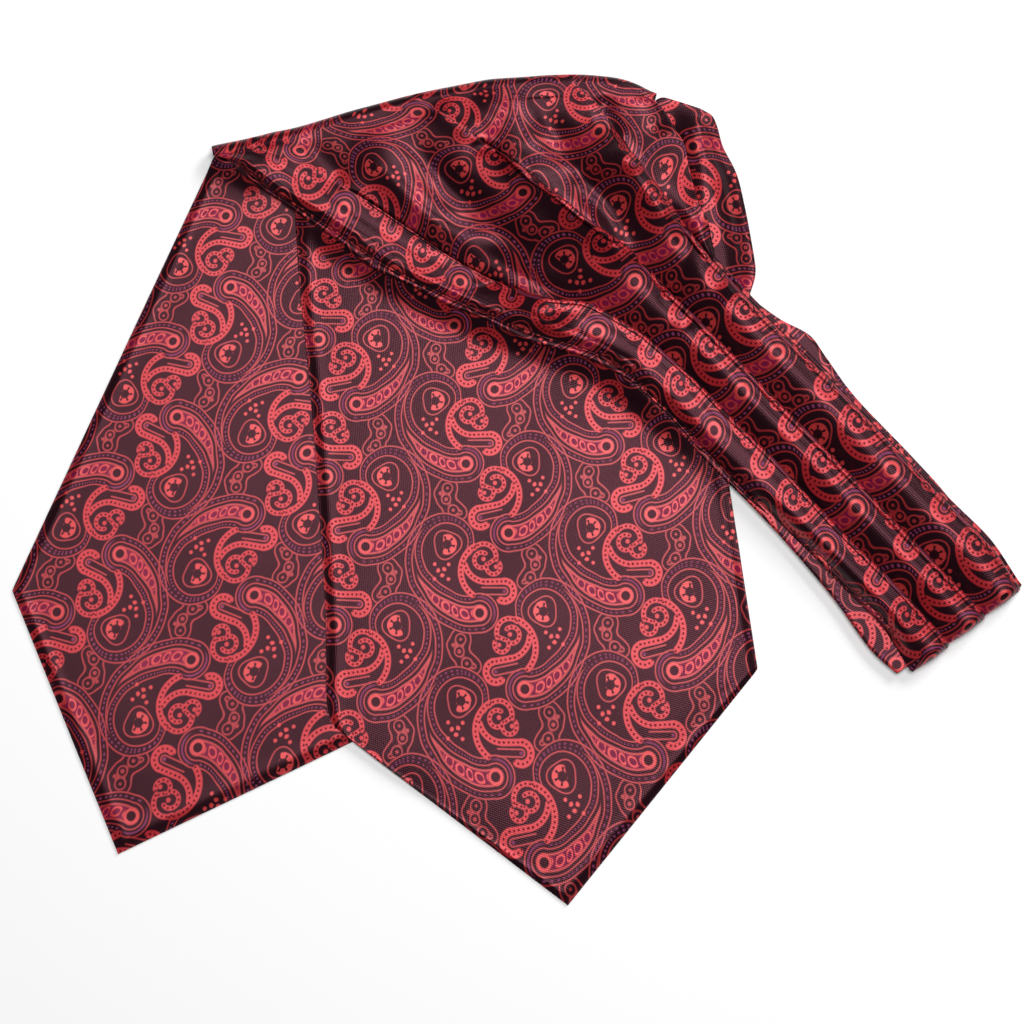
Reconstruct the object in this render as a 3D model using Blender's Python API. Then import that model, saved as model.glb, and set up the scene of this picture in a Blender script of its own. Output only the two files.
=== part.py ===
# An ascot tie laid flat: its pleated neckband is folded double, and its two wide blades lie
# one on the other under the fan where the pleats open out.
# Millimetres here, metres in the meshes. +Z is up, the cloth rests on Z = 0, and +Y points
# from the blades' points towards the fan. The origin is the bottom centre of the whole piece.

import math

import bmesh
import bpy
import numpy as np

MM = 0.001

# Cloth: two shells of the satin pressed together are one wall
WALL = 1.1
GAP = 0.3
PITCH = WALL + GAP
PLEAT_LAYERS = 3
BAND_HEIGHT = PLEAT_LAYERS * WALL + (PLEAT_LAYERS - 1) * GAP
EDGE_ROUND = 0.5

# Knife pleats, each a fold turned under its own band and brought forward again
TURN_RADIUS = PITCH / 2
PLEAT_DEPTH = 11.0
TURN_STEPS = 4

# How far past a lower layer's edge the cloth above it stays up, and takes to come down
STAY_UP = 9.0
COME_DOWN = 30.0

# The fan stands a little higher than its layers, because its pleats were pressed below it
FAN_LOFT = 5.0
FAN_LOFT_CENTRE = (22.0, 112.0)
FAN_LOFT_SIZE = (62.0, 26.0)
HIDDEN_LOFT_SHARE = 0.45

# The fan's three largest soft troughs: start, end, half width and depth
FAN_TROUGHS = [
    ((-2, 98), (17, 71), 8.0, 1.5),
    ((-30, 140), (-24, 112), 9.0, 1.3),
    ((33, 130), (48, 92), 7.0, 1.4),
]

# Outlines, (x, y) each
BACK_LEFT = [(-113, 125), (-186, -37)]
BACK_POINT = [(-186, -37), (-147, -134), (-53, -89)]
BACK_RIGHT = [(45, 141), (26, 122), (-13, 26), (-53, -89)]

FRONT_TOP = [(-79, 113), (-60, 106), (-40, 94), (-20, 84), (0, 76), (20, 68), (38, 56),
             (54, 38), (66, 30), (76, 22)]
FRONT_LEFT = [(-79, 113), (-81, 102), (-79, 70), (-76, 41), (-73, 3), (-70, -46), (-69, -82),
              (-60, -93)]
FRONT_POINT = [(-60, -93), (19, -153), (89, -66)]
FRONT_RIGHT = [(76, 22), (78, 4), (89, -66)]

# The top of the fan, where the outer stretch turns over the inner one
FAN_TOP = [(-112, 126), (-98, 129), (-80, 134), (-61, 140), (-43, 145), (-24, 149), (-6, 152),
           (13, 153.4), (27, 153.4), (40, 151.6), (52, 147)]

# The inner stretch's fan, which comes out as a bulge on the right
UNDER_TOP = [(-76, 127), (-58, 132), (-42, 137), (-24, 141), (-6, 144), (13, 145.5), (27, 145.5),
             (40, 144), (49, 142), (54, 144.8), (60, 143.5), (68, 141)]
UNDER_RIGHT = [(68, 141), (72, 138.5), (74, 134), (76, 127), (81, 117), (84, 105), (87, 89),
               (88, 80), (86, 72)]
UNDER_SEAM = [(50, 42), (86, 72)]
UNDER_LEFT = [(-76, 127), (-74, 116), (-58, 107), (-38, 95), (-18, 85), (4, 76), (26, 66), (50, 42)]

# The folded neckband's lower half, from under the fan to the end
LOW_LEFT = [(48, 36), (70, 12), (89, -7), (102, -21), (118, -40), (131, -58), (143, -70)]
LOW_RIGHT = [(86, 71), (97, 63), (108, 57), (114, 49), (125, 34), (146, 12), (161, -5), (182, -34)]

# The outer stretch, a row for each section across the cloth, from the top edge to the stitched
# pleats. Each pleat's turn is in degrees, and 180 is a whole fold.
# outer edge, fold 3, fold 2, fold 1, inner edge, turns of folds 3 to 1, their depths
FAN_SECTIONS = [
    ((-112, 126), (-69, 138), (-17, 150), (31, 153), (52, 147), (0, 0, 0), (0.5, 0.5, 0.5)),
    ((-88, 110), (-52, 118), (-8, 134), (35, 139), (57, 136), (0, 0, 20), (0.5, 0.5, 0.5)),
    ((-61, 93), (-33, 98), (2, 120), (38, 130), (62, 123), (0, 40, 55), (0.5, 0.5, 0.5)),
    ((-36, 77), (-14, 80), (11, 109), (43, 121), (65, 113), (50, 120, 120), (0.5, 0.5, 0.5)),
    ((-10, 65), (6, 74), (24, 98), (50, 112), (68, 103), (150, 180, 180), (2, 3, 3)),
    ((18, 55), (27, 69), (39, 87), (60, 100), (71, 95), (180, 180, 180), (6, 7, 7)),
    ((45, 41), (47, 58), (58, 71), (72, 85), (73.2, 86.2), (180, 180, 180), (11, 11, 11)),
]
# outer edge, fold 3, fold 2, fold 1, inner edge, from the stitched pleats to the end
NECK_SECTIONS = [
    ((45.4, 40.6), (47.4, 57.6), (58.4, 70.6), (72.4, 84.6), (73.6, 85.8)),
    ((61, 26), (64, 43), (76, 56), (88, 68), (89.2, 69.2)),
    ((75, 10), (83, 25), (97, 38), (108, 49), (109.2, 50.2)),
    ((91, -5), (102, 6), (115, 18), (128, 30), (129.2, 31.2)),
    ((107, -21), (119, -11), (132, 0), (145, 13), (146.2, 14.2)),
    ((122, -36), (133, -28), (147, -15), (160, -3), (161.2, -1.8)),
    ((147.6, -68.2), (160.8, -57.9), (174, -47.6), (186.9, -37.4), (187.9, -36.6)),
]
NECK_TURN = (180, 180, 180)
NECK_DEPTH = (PLEAT_DEPTH, PLEAT_DEPTH, PLEAT_DEPTH)
FAN_ROWS = 14
NECK_ROWS = 9
FOLD_OVER_STEPS = 6
FOLD_SEAM = 0.6
TOP_EDGE_ROWS = 4
END_TURN_STEPS = 8

BLADE_COLUMNS = 16
BLADE_ROWS = 18
UNDER_COLUMNS = 20
UNDER_ROWS = 12
LOW_COLUMNS = 6
LOW_ROWS = 14

SATIN = (0.16, 0.012, 0.022)
SATIN_SHADES = {"back_blade": 0.9, "front_blade": 1.0, "under_fan": 0.8, "upper_fan": 1.1,
                "neckband_lower": 0.8, "neckband_upper": 1.2}


def smooth(x):
    """A rise from 0 to 1 with level ends."""
    x = np.clip(x, 0.0, 1.0)
    return x * x * (3 - 2 * x)


def along(points, count):
    """Evenly spaced points on a line through the given points."""
    pts = np.array(points, float)
    steps = np.linalg.norm(np.diff(pts, axis=0), axis=1)
    reach = np.concatenate([[0], np.cumsum(steps)])
    where = np.linspace(0, reach[-1], count)
    return np.stack([np.interp(where, reach, pts[:, k]) for k in (0, 1)], axis=1)


def along_point(points, count):
    """The same for a blade's point, with the tip on the middle one."""
    half = count // 2 + 1
    left = along(points[:2], half)
    right = along(points[1:], count - half + 1)
    return np.concatenate([left, right[1:]])


def patch(top, bottom, left, right):
    """A grid of plan points between four edges, blended from all four."""
    rows, cols = len(left), len(top)
    t = np.linspace(0, 1, rows)[:, None, None]
    s = np.linspace(0, 1, cols)[None, :, None]
    ruled = (1 - t) * top[None] + t * bottom[None] + (1 - s) * left[:, None] + s * right[:, None]
    corners = ((1 - s) * (1 - t) * top[0] + s * (1 - t) * top[-1]
               + (1 - s) * t * bottom[0] + s * t * bottom[-1])
    return ruled - corners


def past_edge(points, outline):
    """How far each plan point lies outside a closed outline; inside it is negative."""
    ring = np.array(outline, float)
    nxt = np.roll(ring, -1, axis=0)
    p = points[..., None, :]
    run = nxt - ring
    share = np.clip(((p - ring) * run).sum(-1) / (run * run).sum(-1), 0, 1)
    nearest = np.linalg.norm(p - (ring + share[..., None] * run), axis=-1).min(-1)
    crosses = (ring[:, 1] > p[..., 1]) != (nxt[:, 1] > p[..., 1])
    lift = np.where(run[:, 1] == 0, 1e-9, run[:, 1])
    at = ring[:, 0] + (p[..., 1] - ring[:, 1]) * run[:, 0] / lift
    inside = (crosses & (p[..., 0] < at)).sum(-1) % 2 == 1
    return np.where(inside, -nearest, nearest)


def held_up(points, outline):
    """1 over a lower layer, coming down to 0 past its edge."""
    return 1 - smooth((past_edge(points, outline) - STAY_UP) / COME_DOWN)


def loft(points):
    """The soft rise of the fan."""
    away = (points - np.array(FAN_LOFT_CENTRE)) / np.array(FAN_LOFT_SIZE)
    return FAN_LOFT * np.exp(-(away ** 2).sum(-1))


def troughs(points):
    """How deep the fan's troughs are at each point."""
    depth = np.zeros(points.shape[:-1])
    for start, end, half_width, deepest in FAN_TROUGHS:
        run = np.subtract(end, start)
        share = np.clip((points - start) @ run / (run @ run), 0, 1)
        away = np.linalg.norm(points - (start + share[..., None] * run), axis=-1)
        depth += deepest * np.exp(-(away / half_width) ** 2)
    return depth


BACK_OUTLINE = BACK_LEFT + BACK_POINT[1:] + BACK_RIGHT[::-1][1:]
FRONT_OUTLINE = FRONT_LEFT + FRONT_POINT[1:] + FRONT_RIGHT[::-1][1:] + FRONT_TOP[::-1][1:-1]
UNDER_OUTLINE = UNDER_TOP + UNDER_RIGHT[1:] + UNDER_LEFT[::-1][:-1]
LOW_OUTLINE = LOW_LEFT + LOW_RIGHT[::-1]


def front_rest(points):
    """Where the front blade's underside lies: on the back blade, then on the floor."""
    return PITCH * held_up(points, BACK_OUTLINE)


def under_rest(points):
    """Where the inner fan's underside lies: on both blades."""
    return front_rest(points) + PITCH * held_up(points, FRONT_OUTLINE)


def outer_rest(points):
    """Where the outer stretch's underside lies, on all that is below it."""
    thick = np.maximum(held_up(points, UNDER_OUTLINE), held_up(points, LOW_OUTLINE))
    return thick * (BAND_HEIGHT + GAP) + (1 - thick) * under_rest(points)


def fan_base(points):
    """The underside of the outer stretch with the fan's loft and troughs."""
    lift = loft(points)
    return outer_rest(points) + lift - troughs(points) * smooth(lift / FAN_LOFT * 1.6)


def fold_line(points):
    """Points on the fan's top edge moved in to the line that the cloth turns about."""
    inset = (fan_base(points) + WALL) / 2
    return points - outward_normals(points, FAN_TOP) * inset[:, None]


def wall(name, top, bottom, layers, round_sides):
    """One closed solid between two grids of points. Its rim shows one rounded edge for each
    layer on the sides named in round_sides (first row, last row, first column, last column)."""
    rows, cols = top.shape[:2]
    rim = [(0, j) for j in range(cols)] + [(i, cols - 1) for i in range(1, rows)]
    rim += [(rows - 1, j) for j in range(cols - 2, -1, -1)] + [(i, 0) for i in range(rows - 2, 0, -1)]
    outward = []
    for i, j in rim:
        push = np.zeros(2)
        sides = ((i == 0, (1, 0)), (i == rows - 1, (-1, 0)), (j == 0, (0, 1)), (j == cols - 1, (0, -1)))
        for (on_side, (di, dj)), rounded in zip(sides, round_sides):
            if on_side and rounded:
                away = (top[i, j] - top[i + di, j + dj])[:2]
                push += away / max(np.linalg.norm(away), 1e-6)
        outward.append(push / max(np.linalg.norm(push), 1.0))
    rings = []
    for k in range(2 * layers - 1):
        share = (k + 1) / (2 * layers)
        reach = EDGE_ROUND if k % 2 == 0 else 0.0
        ring = []
        for (i, j), push in zip(rim, outward):
            point = (1 - share) * top[i, j] + share * bottom[i, j]
            ring.append(point + reach * np.array([push[0], push[1], 0.0]))
        rings.append(ring)

    mesh = bmesh.new()
    upper = [[mesh.verts.new(top[i, j] * MM) for j in range(cols)] for i in range(rows)]
    lower = [[mesh.verts.new(bottom[i, j] * MM) for j in range(cols)] for i in range(rows)]
    loops = [[upper[i][j] for i, j in rim]]
    loops += [[mesh.verts.new(point * MM) for point in ring] for ring in rings]
    loops.append([lower[i][j] for i, j in rim])
    for i in range(rows - 1):
        for j in range(cols - 1):
            mesh.faces.new((upper[i][j], upper[i + 1][j], upper[i + 1][j + 1], upper[i][j + 1]))
            mesh.faces.new((lower[i][j], lower[i][j + 1], lower[i + 1][j + 1], lower[i + 1][j]))
    count = len(rim)
    for high, low in zip(loops, loops[1:]):
        for k in range(count):
            after = (k + 1) % count
            mesh.faces.new((high[k], high[after], low[after], low[k]))
    return finish(name, mesh)


def strip(name, face, back, seam_rows):
    """One closed solid from a pleated wall's face and back points, a row for each section."""
    rows, cols = face.shape[:2]
    mesh = bmesh.new()
    front = [[mesh.verts.new(face[i, j] * MM) for j in range(cols)] for i in range(rows)]
    rear = [[mesh.verts.new(back[i, j] * MM) for j in range(cols)] for i in range(rows)]
    rims = []
    for j, inner in ((0, 1), (cols - 1, cols - 2)):
        middle = (face[:, j] + back[:, j]) / 2
        away = middle - (face[:, inner] + back[:, inner]) / 2
        away /= np.linalg.norm(away, axis=1)[:, None]
        rims.append([mesh.verts.new(p * MM) for p in middle + EDGE_ROUND * away])
    for i in range(rows - 1):
        for j in range(cols - 1):
            mesh.faces.new((front[i][j], front[i + 1][j], front[i + 1][j + 1], front[i][j + 1]))
            mesh.faces.new((rear[i][j], rear[i][j + 1], rear[i + 1][j + 1], rear[i + 1][j]))
        for rim, j in zip(rims, (0, cols - 1)):
            mesh.faces.new((front[i][j], rim[i], rim[i + 1], front[i + 1][j]))
            mesh.faces.new((rim[i], rear[i][j], rear[i + 1][j], rim[i + 1]))
    for i in seam_rows:
        for j in range(cols - 1):
            mesh.faces.new((front[i][j], front[i][j + 1], rear[i][j + 1], rear[i][j]))
        for rim, j in zip(rims, (0, cols - 1)):
            mesh.faces.new((front[i][j], rear[i][j], rim[i]))
    return finish(name, mesh)


def finish(name, mesh):
    """Turns the faces out, gives the object its own satin and puts it in the scene."""
    bmesh.ops.recalc_face_normals(mesh, faces=mesh.faces)
    data = bpy.data.meshes.new(name)
    mesh.to_mesh(data)
    mesh.free()
    data.shade_smooth()
    data.set_sharp_from_angle(angle=math.radians(50))
    satin = bpy.data.materials.new(name + "_satin")
    satin.use_nodes = True
    shader = satin.node_tree.nodes["Principled BSDF"]
    shade = SATIN_SHADES[name]
    shader.inputs["Base Color"].default_value = (*(c * shade for c in SATIN), 1.0)
    shader.inputs["Roughness"].default_value = 0.42
    shader.inputs["Metallic"].default_value = 0.0
    data.materials.append(satin)
    piece = bpy.data.objects.new(name, data)
    bpy.context.scene.collection.objects.link(piece)
    return piece


def with_height(plan, height):
    return np.concatenate([plan, height[..., None]], axis=-1)


def fold_curve(turn, depth):
    """A pleat's centre line from its fold edge: down through the turn, back for its depth and
    forward again. Returns across, down and heading for each point."""
    bend = math.radians(turn)
    out = []
    for k in range(TURN_STEPS + 1):
        a = bend * k / TURN_STEPS
        out.append((TURN_RADIUS * math.sin(a), TURN_RADIUS * (1 - math.cos(a)), a))
    x = out[-1][0] + depth * math.cos(bend)
    z = out[-1][1] + depth * math.sin(bend)
    for k in range(TURN_STEPS + 1):
        a = bend * (1 - k / TURN_STEPS)
        across = x + TURN_RADIUS * (math.sin(bend) - math.sin(a))
        down = z + TURN_RADIUS * (math.cos(a) - math.cos(bend))
        out.append((across, down, a))
    return out


def pleated_section(reach, turns, depths):
    """The centre line of one section. reach holds the distance across to the outer edge, the
    three fold edges and the inner edge. Returns across, height and heading for each point."""
    curves = [fold_curve(t, d) for t, d in zip(turns, depths)]
    heights = [curve[-1][1] for curve in curves] + [0.0]
    points = []
    low_from = reach[0] + EDGE_ROUND
    for k in range(4):
        last = k == 3
        top = heights[k]
        start = reach[0] + EDGE_ROUND if k == 0 else points[-1][0]
        fold_half = TURN_RADIUS + WALL / 2
        edge = reach[k + 1] - EDGE_ROUND if last else reach[k + 1] - fold_half * math.sin(
            math.radians(min(turns[k], 90)))
        tucked = 0.0 if last else max(0.0, -math.cos(math.radians(turns[k]))) * depths[k] + PITCH
        rise_from = max(start, low_from) + (0.0 if k == 0 else 0.6)
        rise_to = max(edge - tucked, rise_from + 2.5)
        rise_to = min(rise_to, edge - 0.2)
        spots = [start + 0.02, rise_from]
        spots += [rise_from + (rise_to - rise_from) * q for q in (0.25, 0.5, 0.75, 1.0)]
        spots += [rise_to + (edge - rise_to) * q for q in (0.35, 0.7)]
        if last:
            spots.append(edge)
        if k > 0:
            spots = spots[1:]
        for x in spots:
            q = min(max((x - rise_from) / (rise_to - rise_from), 0.0), 1.0)
            height = top * q * q * (3 - 2 * q)
            slope = top * 6 * q * (1 - q) / (rise_to - rise_from)
            points.append((x, height, -math.atan(slope)))
        if not last:
            for across, down, heading in curves[k]:
                points.append((edge + across, top - down, heading))
            low_from = reach[k + 1]
    return points


def section_rows(table, count, turn_columns):
    """Sections between a table's rows, on smooth curves through its columns."""
    where = np.linspace(0, len(table) - 1, count)
    columns = []
    for c in range(5):
        pts = np.array([row[c] for row in table], float)
        columns.append(np.stack([ease(where, pts[:, k]) for k in (0, 1)], axis=1))
    plan = np.stack(columns, axis=1)
    if not turn_columns:
        return plan, [NECK_TURN] * count, [NECK_DEPTH] * count
    turns = np.array([row[5] for row in table], float)
    depths = np.array([row[6] for row in table], float)
    knots = np.arange(len(table))
    turn_rows = np.stack([np.interp(where, knots, turns[:, k]) for k in range(3)], axis=1)
    depth_rows = np.stack([np.interp(where, knots, depths[:, k]) for k in range(3)], axis=1)
    return plan, turn_rows, depth_rows


def ease(where, values):
    """A smooth curve through the values at 0, 1, 2 and so on."""
    padded = np.concatenate([[2 * values[0] - values[1]], values, [2 * values[-1] - values[-2]]])
    k = np.clip(np.floor(where).astype(int), 0, len(values) - 2)
    t = where - k
    a, b, c, d = (padded[k + n] for n in range(4))
    return 0.5 * (2 * b + (c - a) * t + (2 * a - 5 * b + 4 * c - d) * t ** 2
                  + (3 * b - a - 3 * c + d) * t ** 3)


def top_edge_bow(spot, row):
    """How far the curved top edge stands off the straight runs between a row's columns."""
    line = np.array(FAN_TOP, float)
    bow = np.interp(spot[:, 0], line[:, 0], line[:, 1]) - np.interp(spot[:, 0], row[:, 0], row[:, 1])
    return np.stack([np.zeros(len(spot)), bow], axis=1)


def lay_sections(plan, turns, depths, top_rows):
    """The face and back points of every section. The first of top_rows lies on the line that
    the cloth turns about, and the rest take less and less of the top edge's bow."""
    face_rows, back_rows = [], []
    for number, (row, turn, depth) in enumerate(zip(plan, turns, depths)):
        steps = np.linalg.norm(np.diff(row, axis=0), axis=1)
        reach = np.concatenate([[0], np.cumsum(steps)])
        points = np.array(pleated_section(reach, turn, depth))
        x, z, heading = points.T
        half = WALL / 2
        sides = []
        for sign in (1, -1):
            across = x + sign * half * np.sin(heading)
            height = z + sign * half * np.cos(heading)
            spot = np.stack([np.interp(across, reach, row[:, k]) for k in (0, 1)], axis=1)
            first = (row[1] - row[0]) / steps[0]
            last = (row[-1] - row[-2]) / steps[-1]
            spot += np.minimum(across, 0)[:, None] * first
            spot += np.maximum(across - reach[-1], 0)[:, None] * last
            if number < top_rows:
                spot += top_edge_bow(spot, plan[0]) * (1 - number / top_rows) ** 2
            if number == 0 and top_rows:
                spot = fold_line(spot)
            sides.append((spot, height))
        middle = (sides[0][0] + sides[1][0]) / 2
        rest = fan_base(middle) + half
        face_rows.append(with_height(sides[0][0], sides[0][1] + rest))
        back_rows.append(with_height(sides[1][0], sides[1][1] + rest))
    return np.array(face_rows), np.array(back_rows)


def roll_under(row_face, row_back, outward, centre_height, steps):
    """Carries a section round a fold and under, about a level line at the centre height."""
    faces, backs = [], []
    for k in range(1, steps + 1):
        turn = math.pi * k / steps
        for row, out in ((row_face, faces), (row_back, backs)):
            radius = row[:, 2] - centre_height
            plan = row[:, :2] + outward * (radius * math.sin(turn))[:, None]
            out.append(with_height(plan, centre_height + radius * math.cos(turn)))
    return np.array(faces), np.array(backs)


def outward_normals(points, line):
    """The direction out of the piece at the nearest place on its top edge."""
    line = np.array(line, float)
    run = np.diff(line, axis=0)
    normal = np.stack([-run[:, 1], run[:, 0]], axis=1)
    normal /= np.linalg.norm(normal, axis=1)[:, None]
    middle = (line[:-1] + line[1:]) / 2
    smoothed = []
    for p in points:
        weight = np.exp(-(((middle - p) ** 2).sum(1)) / 20.0 ** 2)
        n = (weight[:, None] * normal).sum(0)
        smoothed.append(n / np.linalg.norm(n))
    return np.array(smoothed)


def back_blade():
    edge = along(FAN_TOP, BLADE_COLUMNS + 1)
    top = fold_line(edge) - outward_normals(edge, FAN_TOP) * FOLD_SEAM
    left = along([tuple(top[0])] + BACK_LEFT[1:], BLADE_ROWS + 1)
    right = along([tuple(top[-1])] + BACK_RIGHT[1:], BLADE_ROWS + 1)
    bottom = along_point(BACK_POINT, BLADE_COLUMNS + 1)
    plan = patch(top, bottom, left, right)
    low = np.zeros(plan.shape[:2])
    wall("back_blade", with_height(plan, low + WALL), with_height(plan, low), 1, (0, 1, 1, 1))


def front_blade():
    plan = patch(along(FRONT_TOP, BLADE_COLUMNS + 1), along_point(FRONT_POINT, BLADE_COLUMNS + 1),
                 along(FRONT_LEFT, BLADE_ROWS + 1), along(FRONT_RIGHT, BLADE_ROWS + 1))
    low = front_rest(plan)
    wall("front_blade", with_height(plan, low + WALL), with_height(plan, low), 1, (1, 1, 1, 1))


def under_fan():
    plan = patch(along(UNDER_TOP, UNDER_COLUMNS + 1), along(UNDER_SEAM, UNDER_COLUMNS + 1),
                 along(UNDER_LEFT, UNDER_ROWS + 1), along(UNDER_RIGHT, UNDER_ROWS + 1))
    low = under_rest(plan)
    edge = smooth(-past_edge(plan, UNDER_OUTLINE) / 7.0)
    high = BAND_HEIGHT - 0.7 * (1 - edge) + HIDDEN_LOFT_SHARE * loft(plan) * edge
    wall("under_fan", with_height(plan, high), with_height(plan, low), 2, (1, 0, 1, 1))


def neckband_lower():
    start, stop = (np.array(NECK_SECTIONS[-1][k], float) for k in (0, 3))
    run = (stop - start) / np.linalg.norm(stop - start)
    inward = np.array([-run[1], run[0]])
    begin = start + inward * (BAND_HEIGHT + GAP + FOLD_SEAM)
    end = [begin + run * ((np.array(side[-1]) - start) @ run) for side in (LOW_LEFT, LOW_RIGHT)]
    left = along(LOW_LEFT[:-1] + [tuple(end[0])], LOW_ROWS + 1)
    right = along(LOW_RIGHT[:-1] + [tuple(end[1])], LOW_ROWS + 1)
    plan = patch(along([left[0], right[0]], LOW_COLUMNS + 1), along(end, LOW_COLUMNS + 1), left, right)
    low = PITCH * held_up(plan, FRONT_OUTLINE)
    high = np.full(plan.shape[:2], BAND_HEIGHT)
    wall("neckband_lower", with_height(plan, high), with_height(plan, low), PLEAT_LAYERS, (0, 0, 1, 1))


def upper_fan():
    plan, turns, depths = section_rows(FAN_SECTIONS, FAN_ROWS, True)
    face, back = lay_sections(plan, turns, depths, TOP_EDGE_ROWS)
    middle = (face[0] + back[0]) / 2
    outward = outward_normals(middle[:, :2], FAN_TOP)
    centre = (middle[:, 2] + WALL / 2) / 2
    faces, backs = roll_under(face[0], back[0], outward, centre, FOLD_OVER_STEPS)
    face = np.concatenate([faces[::-1], face])
    back = np.concatenate([backs[::-1], back])
    strip("upper_fan", face, back, (0, len(face) - 1))


def neckband_upper():
    plan, turns, depths = section_rows(NECK_SECTIONS, NECK_ROWS, False)
    line = plan[-1]
    run = (line[3] - line[0]) / np.linalg.norm(line[3] - line[0])
    outward = np.array([run[1], -run[0]])
    plan[-1] = line - outward * (BAND_HEIGHT + GAP / 2)
    face, back = lay_sections(plan, turns, depths, 0)
    centre = BAND_HEIGHT + GAP / 2
    faces, backs = roll_under(face[-1], back[-1], np.tile(outward, (face.shape[1], 1)), centre,
                              END_TURN_STEPS)
    face = np.concatenate([face, faces])
    back = np.concatenate([back, backs])
    strip("neckband_upper", face, back, (0, len(face) - 1))


def build():
    for piece in list(bpy.data.objects):
        bpy.data.objects.remove(piece, do_unlink=True)
    back_blade()
    front_blade()
    under_fan()
    neckband_lower()
    upper_fan()
    neckband_upper()


build()
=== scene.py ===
import math

import bpy
import numpy as np
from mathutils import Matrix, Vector


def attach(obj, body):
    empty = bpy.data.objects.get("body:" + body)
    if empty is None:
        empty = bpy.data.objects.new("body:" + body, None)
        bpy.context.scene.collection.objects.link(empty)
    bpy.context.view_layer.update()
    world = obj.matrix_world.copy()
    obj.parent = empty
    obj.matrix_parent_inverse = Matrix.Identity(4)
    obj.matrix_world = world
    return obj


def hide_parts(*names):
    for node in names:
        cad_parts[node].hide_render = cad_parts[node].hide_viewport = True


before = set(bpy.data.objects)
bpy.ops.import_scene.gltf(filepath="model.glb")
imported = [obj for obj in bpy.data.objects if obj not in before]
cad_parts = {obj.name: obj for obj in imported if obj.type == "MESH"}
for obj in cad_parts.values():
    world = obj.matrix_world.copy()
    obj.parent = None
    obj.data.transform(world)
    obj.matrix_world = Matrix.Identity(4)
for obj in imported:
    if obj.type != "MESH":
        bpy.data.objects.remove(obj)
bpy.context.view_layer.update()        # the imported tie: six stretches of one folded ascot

# An ascot tie laid flat, in millimetres until a mesh is made. X runs to the neckband's end,
# Y to the fan and Z up, as in the frame. The weave has its own units, 144 to a repeat.

mm = 0.001
weaveRepeat = 144.0
weaveStep = 0.375      # mm of cloth to a weave unit, so a repeat is 54 mm
# edge is how far a rounded edge stands out, layerFull how full the layers' edges are, and
# rimLevel the share of the cloth's slope that the edges keep
cloth = {"wall": 1.1, "gap": 0.3, "edge": 0.55, "layerFull": 0.7, "rimRings": 21, "rimLevel": 0.3}
pitch = cloth["wall"] + cloth["gap"]
bandHeight = 3 * cloth["wall"] + 2 * cloth["gap"]
photo = {"scale": 0.37, "originX": 516.0, "originY": 490.5, "size": 1024, "middle": 512.0}


# places and curves

def fromPhoto(points):
    # plan millimetres of image points: X right and Y up from the origin's pixel
    points = np.array(points, float)
    across = (points[..., 0] - photo["originX"]) * photo["scale"]
    up = (photo["originY"] - points[..., 1]) * photo["scale"]
    return np.stack([across, up], axis=-1)


def smooth(x):
    # a rise from 0 to 1 with level ends: 3x^2 - 2x^3
    x = np.clip(x, 0.0, 1.0)
    return x * x * (3 - 2 * x)


def unit(arrows):
    # the same directions with a length of 1
    return arrows / np.linalg.norm(arrows, axis=-1, keepdims=True)


def reachOf(line):
    # the length of a line of points up to each of them, the points on the last axis but one
    steps = np.linalg.norm(np.diff(line, axis=-2), axis=-1)
    return np.concatenate([np.zeros_like(steps[..., :1]), np.cumsum(steps, axis=-1)], axis=-1)


def evenly(line, count):
    # points at equal distances along a line of points
    reach = reachOf(line)
    where = np.linspace(0, reach[-1], count)
    return np.stack([np.interp(where, reach, line[:, k]) for k in range(line.shape[1])], axis=1)


def curve(points, count, fine=16):
    # a Catmull-Rom curve through the points, then evenly spaced points on it
    p = np.array(points, float)
    if len(p) < 3:
        return evenly(p, count)
    p = np.concatenate([[2 * p[0] - p[1]], p, [2 * p[-1] - p[-2]]])
    t = np.linspace(0, 1, fine, endpoint=False)[None, :, None]
    a, b, c, d = (p[k:len(p) - 3 + k][:, None, :] for k in range(4))
    run = 0.5 * (2 * b + (c - a) * t + (2 * a - 5 * b + 4 * c - d) * t ** 2
                 + (3 * b - a - 3 * c + d) * t ** 3)
    return evenly(np.concatenate([run.reshape(-1, p.shape[1]), p[-2:-1]]), count)


def pointed(points, count):
    # two straight edges that meet at a blade's tip, with the tip on the middle point
    half = count // 2 + 1
    left = evenly(np.array(points[:2], float), half)
    right = evenly(np.array(points[1:], float), count - half + 1)
    return np.concatenate([left, right[1:]])


def patch(top, bottom, left, right):
    # Coons patch: the two ruled surfaces between opposite edges, less the one between corners
    t = np.linspace(0, 1, len(left))[:, None, None]
    s = np.linspace(0, 1, len(top))[None, :, None]
    ruled = (1 - t) * top[None] + t * bottom[None] + (1 - s) * left[:, None] + s * right[:, None]
    corners = ((1 - s) * (1 - t) * top[0] + s * (1 - t) * top[-1]
               + (1 - s) * t * bottom[0] + s * t * bottom[-1])
    return ruled - corners


def pastEdge(points, outline):
    # distance to a closed outline, negative inside it
    ring = np.array(outline, float)
    after = np.roll(ring, -1, axis=0)
    run = after - ring
    nearest = np.full(points.shape[:-1], 1e9)
    inside = np.zeros(points.shape[:-1], bool)
    for a, b, r in zip(ring, after, run):
        share = np.clip(((points - a) @ r) / (r @ r), 0, 1)
        nearest = np.minimum(nearest, np.linalg.norm(points - (a + share[..., None] * r), axis=-1))
        crosses = (a[1] > points[..., 1]) != (b[1] > points[..., 1])
        at = a[0] + (points[..., 1] - a[1]) * r[0] / (r[1] if r[1] else 1e-9)
        inside ^= crosses & (points[..., 0] < at)
    return np.where(inside, -nearest, nearest)


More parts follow.
